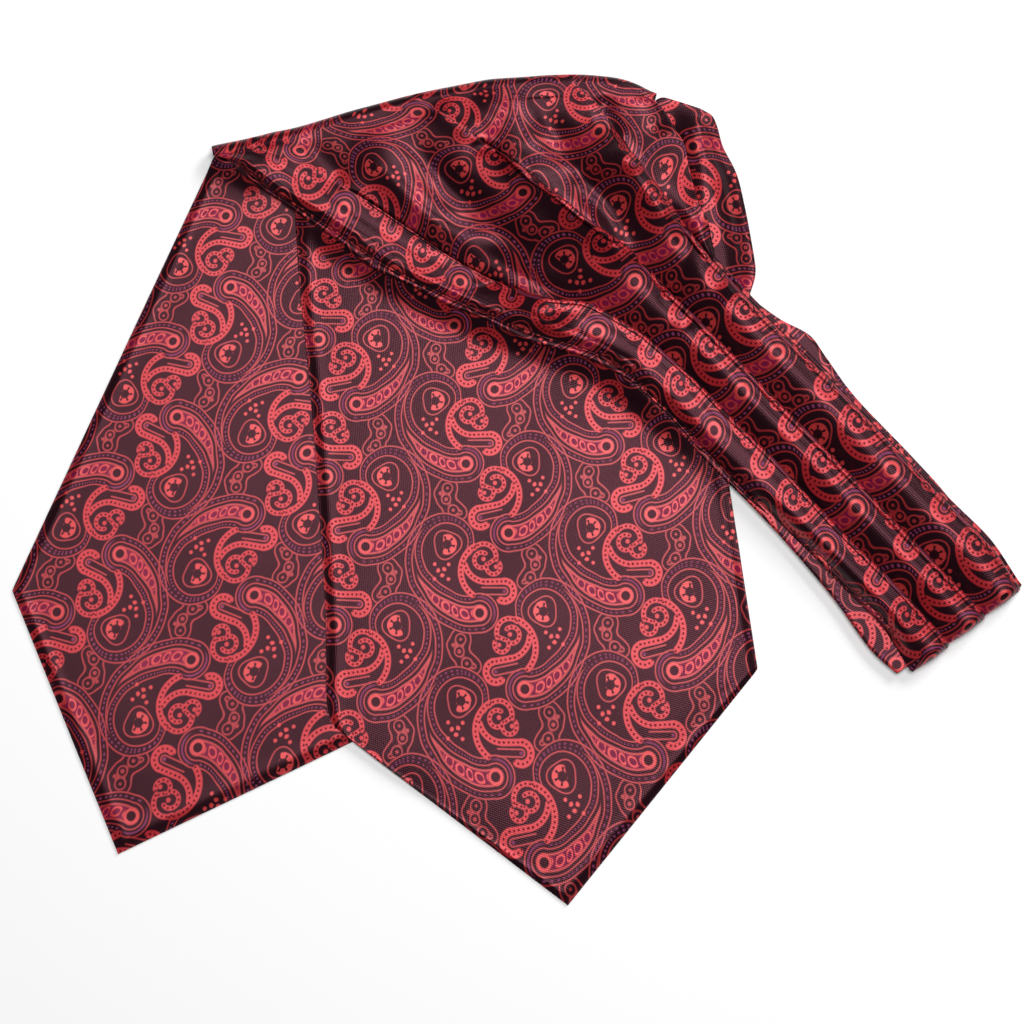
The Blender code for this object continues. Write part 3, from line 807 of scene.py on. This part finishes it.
def bladeShell(name, plan, low, marks, seed):
    # a wall on its rest, with slow waves that die out at the edges where it is pressed. The face
    # adds one bell and takes another off along its edges
    rows, cols = plan.shape[:2]
    i = np.minimum(np.arange(rows), np.arange(rows)[::-1])[:, None]
    j = np.minimum(np.arange(cols), np.arange(cols)[::-1])[None]
    low = low + gentle(plan, seed) * smooth(np.minimum(i / rows, j / cols) / blade["pressed"])
    high = low + cloth["wall"]
    steps = np.minimum(i, j)
    for part, sign in (("edgeRoll", 1), ("edgeFall", -1)):
        amount, at, spread = blade[part]
        high += sign * amount * np.exp(-((steps - at) / spread) ** 2)
    weave = fitted(marks, 2)(plan)
    return closedShell(name, withHeight(plan, high), withHeight(plan, low), weave, [roundEdge] * 4)


def outwardNormals(points, line):
    # the direction out of the piece near its top edge: the edge's own normals, each weighed by a
    # bell of its distance
    line = np.array(line, float)
    run = np.diff(line, axis=0)
    normal = unit(np.stack([-run[:, 1], run[:, 0]], axis=1))
    away = np.linalg.norm(points[:, None] - (line[:-1] + line[1:]) / 2, axis=-1)
    weight = np.exp(-(away / blade["normalReach"]) ** 2)
    return unit(weight @ normal)


def foldInset(points):
    # how far in from the fan's top edge the cloth starts to turn
    return (outerRest(points) + loft(points) + cloth["wall"]) / 2


def backBlade():
    # a patch from inside the top fold to the point, on the surface below
    edge = curve(fanTop, blade["columns"] + 1)
    top = edge - outwardNormals(edge, fanTop) * (foldInset(edge)[:, None] + blade["tuck"])
    left = evenly(np.array([tuple(top[0])] + backLeft[1:]), blade["rows"] + 1)
    right = curve([tuple(top[-1])] + backRight[1:], blade["rows"] + 1)
    plan = patch(top, pointed(backPoint, blade["columns"] + 1), left, right)
    return bladeShell("back_blade_cloth", plan, backRise(plan), backMarks, seed=3)


def frontBlade():
    # a patch from under the fan to the point, on the back blade
    plan = patch(curve(frontTop, blade["columns"] + 1), pointed(frontPoint, blade["columns"] + 1),
                 curve(frontLeft, blade["rows"] + 1), curve(frontRight, blade["rows"] + 1))
    low = frontRest(plan) + frontRise(plan)
    return bladeShell("front_blade_cloth", plan, low, frontMarks, seed=8)


# the pleated outer stretch: the fan and the upper half of the neckband

pleat = {"innerTurn": pitch / 2, "outerTurn": 1.5, "turnSteps": 9, "runSteps": 30, "depth": 11.0,
         "crown": 1.8, "inset": 0.5,
         # a run's rise: where it starts, the share and the most mm it stops short of the fold,
         # and how much of it eases in
         "riseAt": 0.2, "settle": 0.15, "settleMost": 30.0, "eased": 0.45,
         "leastScale": 0.395}      # mm to a weave unit beside a fold

fanLines = {
    "outer": [(213, 150), (229, 156), (244, 164), (262, 180), (277, 193), (307, 210), (351, 240),
              (399, 271), (442, 293), (499, 319), (550, 337), (602, 355), (638, 380)],
    "fold3": [(252, 142), (300, 165), (354, 195), (410, 232), (455, 262), (497, 283), (549, 299),
              (582, 302), (605, 312), (642, 334)],
    "fold2": [(417, 95.5), (440, 112), (473, 138), (505, 158), (532, 180), (560, 200), (583, 219),
              (605, 234), (627, 249), (649, 271), (671, 295)],
    "fold1": [(572, 77), (586, 93), (600, 110), (614, 132), (629, 153), (640, 166), (664, 198),
              (687, 231), (711, 262)],
    "inner": [(657, 93), (673, 129), (683, 145), (689, 173), (697, 204), (706, 222), (710, 242),
              (714, 260)],
}
neckLines = {
    "outer": [(638, 380), (680, 421), (720, 464), (762, 505), (804, 547), (845, 589), (886, 632),
              (914, 675)],
    "fold3": [(642, 334), (689, 375), (727, 414), (778, 464), (830, 520), (876, 566), (909, 600),
              (950, 647)],
    "fold2": [(671, 295), (697, 320), (740, 363), (780, 405), (827, 452), (873, 499), (917, 546),
              (986, 619)],
    "fold1": [(711, 262), (755, 308), (800, 352), (850, 402), (900, 455), (948, 505), (990, 548),
              (1021, 591)],
    "inner": [(714, 259), (758, 305), (803, 349), (853, 399), (903, 452), (951, 502), (993, 545),
              (1023, 589)],
}
# weave units at the outer edge, the three folds and the inner edge
foldWeave = (-19.0, 16.0, 156.0, 298.5, 428.0)
# share of the way from the top edge to the tacks where each pleat starts to turn, and is whole
pleatTurns = [(0.55, 0.86), (0.24, 0.72), (0.2, 0.56)]


def foldTurn(bend, depth, steps):
    # a pleat's middle line from its fold, for every section: down through the full, soft turn,
    # back for its depth and forward again. Returns distance across, distance down and heading
    wide, tight = pleat["outerTurn"], pleat["innerTurn"]
    bend = bend[:, None]
    a = bend * np.linspace(0, 1, steps)[None]
    across, down, heading = wide * np.sin(a), wide * (1 - np.cos(a)), a
    x = across[:, -1:] + depth[:, None] * np.cos(bend)
    z = down[:, -1:] + depth[:, None] * np.sin(bend)
    a = bend * np.linspace(1, 0, steps)[None]
    across2 = x + tight * (np.sin(bend) - np.sin(a))
    down2 = z + tight * (np.cos(a) - np.cos(bend))
    return (np.concatenate([across, across2], axis=1), np.concatenate([down, down2], axis=1),
            np.concatenate([heading, a], axis=1))


def pleatedSections(reach, turns, depths, unitsAt, crown):
    # middle lines of all sections. reach holds the distances across to the outer edge, the folds
    # and the inner edge, a row for each section. Returns across, height, heading and weave u
    folds = [foldTurn(turns[:, k], depths[:, k], pleat["turnSteps"]) for k in range(3)]
    tops = [fold[1][:, -1] for fold in folds] + [np.zeros(len(reach))]
    half = pleat["outerTurn"] + cloth["wall"] / 2
    parts = []
    start = lowFrom = reach[:, 0] + pleat["inset"]
    for k in range(4):
        last = k == 3
        bend = 0 if last else np.minimum(turns[:, k], math.pi / 2)
        edge = reach[:, k + 1] - (pleat["inset"] if last else half * np.sin(bend))
        riseFrom = np.maximum(start, lowFrom + pleat["riseAt"])
        riseTo = edge - pleat["settle"] * np.minimum(edge - riseFrom, pleat["settleMost"])
        t = np.linspace(0, 1, pleat["runSteps"])[None]
        x = start[:, None] + (edge - start)[:, None] * t
        q = np.clip((x - riseFrom[:, None]) / (riseTo - riseFrom)[:, None], 0, 1)
        shown = np.clip((x - lowFrom[:, None]) / (edge - lowFrom)[:, None], 0, 1)
        top = tops[k][:, None]
        bulge = crown[:, None] * np.sin(math.pi * shown)
        full = np.sin(math.pi * q / 2)
        height = top * (full + pleat["eased"] * (smooth(q) - full)) + bulge
        heading = -np.arctan(np.gradient(height, axis=1) / np.maximum(np.gradient(x, axis=1), 1e-6))
        # the visible cloth keeps its scale back from the fold, and what is left over lies hidden
        whole = unitsAt[k + 1] - unitsAt[k]
        scale = np.maximum((edge - lowFrom) / whole, pleat["leastScale"] if k else 0.0)
        u = unitsAt[k + 1] - (edge[:, None] - x) / scale[:, None]
        if k:
            # the pleat before: from its fold's weave to where this run starts
            across, down, bendHeading = folds[k - 1]
            share = np.linspace(0, 1, across.shape[1])[None]
            hidden = unitsAt[k] + (u[:, :1] - unitsAt[k]) * share
            parts.append((lastEdge[:, None] + across, lastTop - down, bendHeading, hidden))
        else:
            u = np.maximum(u, unitsAt[0])
        parts.append((x, height, heading, u))
        if not last:
            lastEdge, lastTop = edge, top
            start = edge + folds[k][0][:, -1]
            lowFrom = reach[:, k + 1]
    return [np.concatenate([part[n] for part in parts], axis=1) for n in range(4)]


def laid(plan, turns, depths, crown, lift):
    # face and back points of the pleated sections on their rest, half a wall to each side of
    # their middle lines, and their weave u
    reach = reachOf(plan)
    x, z, heading, u = pleatedSections(reach, turns, depths, foldWeave, crown)
    half = cloth["wall"] / 2
    first = unit(plan[:, 1] - plan[:, 0])
    last = unit(plan[:, -1] - plan[:, -2])
    sides = []
    for sign in (1, -1):
        across = x + sign * half * np.sin(heading)
        height = z + sign * half * np.cos(heading)
        spot = np.stack([[np.interp(a, r, p[:, k]) for a, r, p in zip(across, reach, plan)]
                         for k in (0, 1)], axis=-1)
        spot += np.minimum(across, 0)[..., None] * first[:, None]
        spot += np.maximum(across - reach[:, -1:], 0)[..., None] * last[:, None]
        sides.append((spot, height))
    base = lift((sides[0][0] + sides[1][0]) / 2) + half
    face, back = (withHeight(spot, height + base) for spot, height in sides)
    return face, back, u


def sectionPlan(lines, count):
    # five points across each section, at equal shares of the way along the five lines
    names = ("outer", "fold3", "fold2", "fold1", "inner")
    return np.stack([curve(fromPhoto(lines[n]), count) for n in names], axis=1)


# the folds at the top and at the neckband's end: steps, and rows over which the weave is followed
fold = {"steps": 18, "weaveRows": 4}


def rolledUnder(face, back, u, v, outward, centre, radius, even=0.0):
    # carries the last section half a turn round a fold and under, about a level line at the
    # centre height, and the weave on with it at the cloth's own scale, for a fold of that radius.
    # even is how far the fold's reach is levelled out, from 0 to 1
    turn = math.pi * np.arange(1, fold["steps"] + 1)[:, None] / fold["steps"]
    rise = (face[-1, :, 2] + back[-1, :, 2]) / 2 - centre
    shift = even * (rise - rise.mean())
    sides = []
    for side in (face, back):
        high = side[-1, :, 2] - centre
        spot = side[-1, :, :2] + outward * ((high - shift) * np.sin(turn))[..., None]
        sides.append(np.concatenate([side, withHeight(spot, centre + high * np.cos(turn))]))
    away = np.sign(v[-1] - v[-1 - fold["weaveRows"]])
    u = np.concatenate([u, np.tile(u[-1:], (fold["steps"], 1))])
    v = np.concatenate([v, v[-1] + away * turn * radius / weaveStep])
    return sides[0], sides[1], np.stack([u, v], axis=-1)


# ridges and troughs of the fan: line in the image, half width and height or depth in mm
fanRidges = [
    ([(352, 132), (388, 172), (424, 212), (470, 250)], 6.0, 2.6),
    ([(504, 152), (518, 168), (534, 184)], 3.0, 1.6),
    ([(478, 128), (510, 158), (545, 192), (590, 228), (636, 262)], 5.0, 3.6),
    ([(566, 208), (600, 234), (644, 268)], 5.5, 2.6),
    ([(430, 100), (456, 124), (484, 146)], 5.0, 2.0),
    ([(588, 112), (618, 152), (655, 205), (690, 246)], 4.5, 2.4),
    ([(262, 136), (285, 150), (312, 172)], 4.0, 0.9),
    ([(470, 92), (510, 112), (545, 146)], 5.0, 1.9),
]
fanTroughs = [
    ([(384, 118), (412, 148), (452, 194), (498, 232), (552, 270), (622, 306)], 6.4, 5.6),
    ([(470, 240), (520, 272), (575, 292)], 4.0, 1.6),
    ([(524, 92), (552, 134), (586, 180), (622, 218), (650, 256)], 6.8, 6.6),
    ([(470, 147), (488, 150), (506, 150)], 2.4, 1.8),
    ([(600, 92), (606, 118), (618, 142)], 4.0, 2.4),
    ([(664, 214), (688, 240), (706, 262)], 4.0, 1.6),
    ([(468, 292), (486, 286), (502, 280)], 3.0, 1.5),
    ([(300, 134), (320, 160), (352, 192)], 5.5, 1.8),
    ([(640, 86), (652, 112), (662, 140)], 4.5, 1.6),
]
tacks = [(713, 265), (672, 299), (643, 338), (622, 366)]
bulge = {"columns": 110, "rows": 90, "mark": (692, 148, -1.4, -37.0), "warp": (0.277, 0.961),
         "shownFrom": 56.0, "shownOver": 14.0, "puff": 3.4, "puffOver": 11.0, "edgeOver": 7.0,
         "edgeFall": 0.7, "scale": -1.0, "layers": 2}
fan = {"rows": 150, "topPoints": 400, "topRows": 26, "topEase": 1.5,
       "crownFrom": 0.3, "crownOver": 0.5, "tuckFrom": 0.35, "leastTuck": 0.5,
       "floorGap": 0.2, "edgeSteps": 10, "edgeDrop": 0.7,
       "pocketLift": 2.6, "pocket": (232, 160), "pocketReach": 26.0,
       "tackDepth": 1.5, "tackWidth": 3.4, "lips": 1.2, "lipsFrom": 0.12}
neck = {"rows": 120, "endEven": 0.8, "edgeSteps": 8, "edgeDrop": 2.5, "dropFrom": 0.3,
        "dropOver": 0.35, "turnFrom": 0.7, "flatFrom": 0.85, "flatten": 0.4, "lips": 0.8,
        "lipsTo": 0.86}
# the outer edge: how many columns take part, its roll in mm, where and how wide, how wide its
# drop is with and without its height, and how far in the back is brought down
outerEdge = {"columns": 26, "roll": 3.0, "at": 2.0, "width": 4.6, "dropWidth": (0.7, 0.9),
             "full": 7.0}


def tackDimples(points):
    # a small dent where each pleat is caught down
    depth = np.zeros(points.shape[:-1])
    for tack in fromPhoto(tacks):
        away = np.linalg.norm(points - tack, axis=-1)
        depth += fan["tackDepth"] * np.exp(-(away / fan["tackWidth"]) ** 2)
    return depth


def bulgeTop(points):
    # the face of the inner stretch's fan: puffed where it shows, flat where it is hidden
    inside = -pastEdge(points, underOutline)
    shown = smooth((points[..., 0] - bulge["shownFrom"]) / bulge["shownOver"])
    puff = rest["hiddenLoft"] * loft(points) + bulge["puff"] * smooth(inside / bulge["puffOver"])
    inner = smooth(inside / bulge["edgeOver"])
    top = bandHeight - bulge["edgeFall"] * (1 - inner) + puff * shown * inner
    return np.where(inside > 0, top, 0.0)


def fanLift(points):
    # the underside of the outer stretch: what it lies on, its loft, ridges, troughs no deeper
    # than there is room for, tacks, and its corner's rise
    pocket = np.linalg.norm(points - fromPhoto(fan["pocket"]), axis=-1) / fan["pocketReach"]
    floor = np.maximum(underRest(points) + frontRise(points) + fan["floorGap"],
                       bulgeTop(points) + cloth["gap"])
    high = outerRest(points) + loft(points) + creased(points, fanRidges)
    room = np.maximum(high - floor, 0.0)
    troughs = [(line, halfWidth, -np.minimum(depth, room)) for line, halfWidth, depth in fanTroughs]
    high += creased(points, troughs) - tackDimples(points)
    return np.maximum(high, floor) + fan["pocketLift"] * np.exp(-pocket ** 2)


def edgeRolled(face, back, drop, share):
    # raises the face near the outer edge to a soft roll that drops off at the edge by an amount
    # for each row, and brings the back down to what lies below, so that the edge is a full side.
    # Each row has its own share of this
    cols = outerEdge["columns"]
    share, drop = share[:, None], drop[:, None]
    near, under = face[:, :cols], back[:, :cols]
    away = np.linalg.norm((near - near[:, :1])[..., :2], axis=-1)
    roll = outerEdge["roll"] * np.exp(-((away - outerEdge["at"]) / outerEdge["width"]) ** 2)
    least, more = outerEdge["dropWidth"]
    fall = drop * np.exp(-(away / (least + more * drop)) ** 2)
    near[..., 2] += (roll - fall) * share
    bottom = underRest(under[..., :2]) + frontRise(under[..., :2]) + cloth["gap"]
    lowered = np.minimum(bottom - under[..., 2], 0.0) * smooth(1 - away / outerEdge["full"])
    under[..., 2] += lowered * share


def weaveAlong(face, back):
    # the fitted weave v of the pleated sections
    return fitted(fanMarks, 3)((face + back)[..., :2] / 2)[..., 1]


def upperFan():
    # sections across, from the top edge to the tacks, with the pleats turning down as they go
    count = fan["rows"]
    share = np.linspace(0, 1, count)
    turns = np.stack([math.pi * smooth((share - a) / (b - a)) for a, b in pleatTurns], axis=1)
    tucked = smooth((turns / math.pi - fan["tuckFrom"]) / (1 - fan["tuckFrom"])) * share[:, None]
    depths = fan["leastTuck"] + (pleat["depth"] - fan["leastTuck"]) * tucked
    crown = pleat["crown"] * smooth((share - fan["crownFrom"]) / fan["crownOver"])
    face, back, u = laid(sectionPlan(fanLines, count), turns, depths, crown, fanLift)
    # the first rows are drawn on to the curved top edge, moved in to the line it turns about
    middle = (face[0] + back[0])[:, :2] / 2
    out = outwardNormals(middle, fanTop)
    topEdge = curve(fanTop, fan["topPoints"])
    at = alongLine(middle, topEdge)[1] * (len(topEdge) - 1)
    edge = np.stack([np.interp(at, np.arange(len(topEdge)), line) for line in topEdge.T], axis=1)
    move = edge - out * foldInset(edge)[:, None] - middle
    ease = (1 - np.arange(count) / fan["topRows"]).clip(0, 1)[:, None, None] ** fan["topEase"]
    face[..., :2] += move * ease
    back[..., :2] += move * ease
    edgeRolled(face, back, np.full(count, fan["edgeDrop"]),
               smooth(np.arange(count) / fan["edgeSteps"]))
    centre = ((face[0] + back[0])[:, 2] / 2 + cloth["wall"] / 2) / 2
    rows = [grid[::-1] for grid in (face, back, u, weaveAlong(face, back))]
    face, back, weave = (grid[::-1] for grid in rolledUnder(*rows, out, centre, centre))
    edges = [roundEdge, roundEdge, twoLips(fan["lips"], start=fan["lipsFrom"]), roundEdge]
    return closedShell("upper_fan_cloth", face, back, weave, edges)


def neckLift(points):
    # never lower than on the neckband's lower half
    return np.maximum(fanLift(points), bandHeight + cloth["gap"])


def neckbandUpper():
    # the same sections on to the neckband's end, with whole pleats, and turned under there
    count = neck["rows"]
    plan = sectionPlan(neckLines, count)
    run = unit(plan[-1, 3] - plan[-1, 0])
    outward = np.array([run[1], -run[0]])
    share = np.linspace(0, 1, count)
    flat = neck["flatten"] * smooth((share - neck["flatFrom"]) / (1 - neck["flatFrom"]))
    # the sections draw back by the fold's height, so that the fold ends where the image shows
    turning = smooth((share - neck["turnFrom"]) / (1 - neck["turnFrom"]))[:, None, None]
    plan = plan - outward * (bandHeight + cloth["gap"]) * turning
    full = np.full((count, 3), math.pi)
    depths = np.full((count, 3), pleat["depth"])
    face, back, u = laid(plan, full, depths, pleat["crown"] * (1 - flat), neckLift)
    dropped = smooth((share - neck["dropFrom"]) / neck["dropOver"])
    drop = fan["edgeDrop"] + neck["edgeDrop"] * dropped
    edgeRolled(face, back, drop, smooth(np.arange(count)[::-1] / neck["edgeSteps"]))
    centre = bandHeight + cloth["gap"] / 2
    radius = (face[-1] + back[-1])[:, 2] / 2 - centre
    face, back, weave = rolledUnder(face, back, u, weaveAlong(face, back), outward, centre, radius,
                                    neck["endEven"])
    edges = [roundEdge, roundEdge, twoLips(neck["lips"], stop=neck["lipsTo"]), roundEdge]
    return closedShell("neckband_upper_cloth", face, back, weave, edges)


# the inner stretch: the bulge of its fan and the neckband's lower half

def underFan():
    # a patch on the blades, with its puffed top
    plan = patch(curve(underTop, bulge["columns"] + 1), curve(underSeam, bulge["columns"] + 1),
                 curve(underLeft, bulge["rows"] + 1), curve(underRight, bulge["rows"] + 1))
    low = underRest(plan)
    high = np.maximum(bulgeTop(plan), bandHeight - bulge["edgeFall"])
    weaveAt = turned(bulge["mark"], bulge["warp"], bulge["scale"])
    layered = layeredEdge(bulge["layers"])
    edges = [layered, roundEdge, layered, layered]
    return closedShell("under_fan_cloth", withHeight(plan, high), withHeight(plan, low),
                       weaveAt(plan), edges)


lowerNeck = {"columns": 60, "rows": 110, "mark": (830, 560, 60.0, 0.0), "warp": (0.71, 0.704),
             "scale": 1.1, "layers": 3, "tuck": 0.6}


def neckbandLower():
    # a patch that ends level inside the fold of the upper half
    line = fromPhoto([neckLines["outer"][-1], neckLines["fold1"][-1]])
    run = unit(line[1] - line[0])
    inward = np.array([-run[1], run[0]])
    begin = line[0] + inward * (bandHeight + cloth["gap"] + lowerNeck["tuck"])
    end = [begin + run * ((np.array(side[-1]) - line[0]) @ run) for side in (lowLeft, lowRight)]
    left = curve(lowLeft[:-1] + [tuple(end[0])], lowerNeck["rows"] + 1)
    right = curve(lowRight[:-1] + [tuple(end[1])], lowerNeck["rows"] + 1)
    plan = patch(evenly(np.array([left[0], right[0]]), lowerNeck["columns"] + 1),
                 evenly(np.array(end), lowerNeck["columns"] + 1), left, right)
    under = pitch * heldUp(plan, frontOutline)
    high = np.full(plan.shape[:2], bandHeight)
    weaveAt = turned(lowerNeck["mark"], lowerNeck["warp"], lowerNeck["scale"])
    edges = [roundEdge] * 2 + [layeredEdge(lowerNeck["layers"])] * 2
    return closedShell("neckband_lower_cloth", withHeight(plan, high), withHeight(plan, under),
                       weaveAt(plan), edges)


def buildCloth():
    # each piece with its flat width, length and area in metres, and what it rests on
    made = {
        "back_blade": (backBlade(), 0.17, 0.262, 0.0352, []),
        "front_blade": (frontBlade(), 0.165, 0.25, 0.0336, ["back_blade_cloth"]),
        "under_fan": (underFan(), 0.165, 0.13, 0.0098, ["back_blade_cloth", "front_blade_cloth"]),
        "neckband_lower": (neckbandLower(), 0.06, 0.15, 0.0088, ["front_blade_cloth"]),
        "upper_fan": (upperFan(), 0.18, 0.17, 0.0235, ["back_blade_cloth", "under_fan_cloth"]),
        "neckband_upper": (neckbandUpper(), 0.18, 0.16, 0.024, ["neckband_lower_cloth"]),
    }
    for node, (piece, width, length, area, under) in made.items():
        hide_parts(node)


buildCloth()
print("cloth laid out")


# the surface it lies on, the light and the camera

studio = {"floor": (0.93, 0.93, 0.93, 1), "floorRough": 0.9, "floorSize": 9.0, "floorAt": -0.0004,
          "height": 1.6, "ambient": 0.07,
          # width in metres, watts, and place from the middle of the picture
          "lights": {"overhead": (0.9, 32.0, (0.15, 0.25, 2.0)),
                     "key": (0.7, 18.0, (0.85, 1.1, 0.92))}}


def floorPlane():
    # a flat square just under the tie
    half = studio["floorSize"] / 2
    mesh = bpy.data.meshes.new("floor")
    corners = [(x, y, studio["floorAt"])
               for x, y in ((-half, -half), (half, -half), (half, half), (-half, half))]
    mesh.from_pydata(corners, [], [(0, 1, 2, 3)])
    material = bpy.data.materials.new("floor")
    material.use_nodes = True
    shader = material.node_tree.nodes["Principled BSDF"]
    shader.inputs["Base Color"].default_value = studio["floor"]
    shader.inputs["Roughness"].default_value = studio["floorRough"]
    mesh.materials.append(material)
    floor = bpy.data.objects.new("floor", mesh)
    bpy.context.scene.collection.objects.link(floor)


def areaLight(name, size, power, place, aim):
    # a square light turned towards the aim
    data = bpy.data.lights.new(name, "AREA")
    data.size = size
    data.energy = power
    lamp = bpy.data.objects.new(name, data)
    lamp.location = place
    lamp.rotation_euler = (lamp.location - aim).to_track_quat("Z", "Y").to_euler()
    bpy.context.scene.collection.objects.link(lamp)


def studioSet():
    # lights, a dim white world, and a camera straight above that sees the image's width
    middle = fromPhoto((photo["middle"], photo["middle"])) * mm
    target = Vector((middle[0], middle[1], 0.0))
    for name, (size, power, away) in studio["lights"].items():
        areaLight(name, size, power, target + Vector(away), target)
    world = bpy.data.worlds.new("studio")
    world.use_nodes = True
    world.node_tree.nodes["Background"].inputs["Color"].default_value = (1, 1, 1, 1)
    world.node_tree.nodes["Background"].inputs["Strength"].default_value = studio["ambient"]
    bpy.context.scene.world = world
    data = bpy.data.cameras.new("camera")
    data.lens = data.sensor_width * studio["height"] / (photo["size"] * photo["scale"] * mm)
    camera = bpy.data.objects.new("camera", data)
    camera.location = target + Vector((0, 0, studio["height"]))
    bpy.context.scene.collection.objects.link(camera)
    bpy.context.scene.camera = camera
    bpy.context.scene.view_settings.view_transform = "Standard"


floorPlane()
studioSet()
print("studio set up")
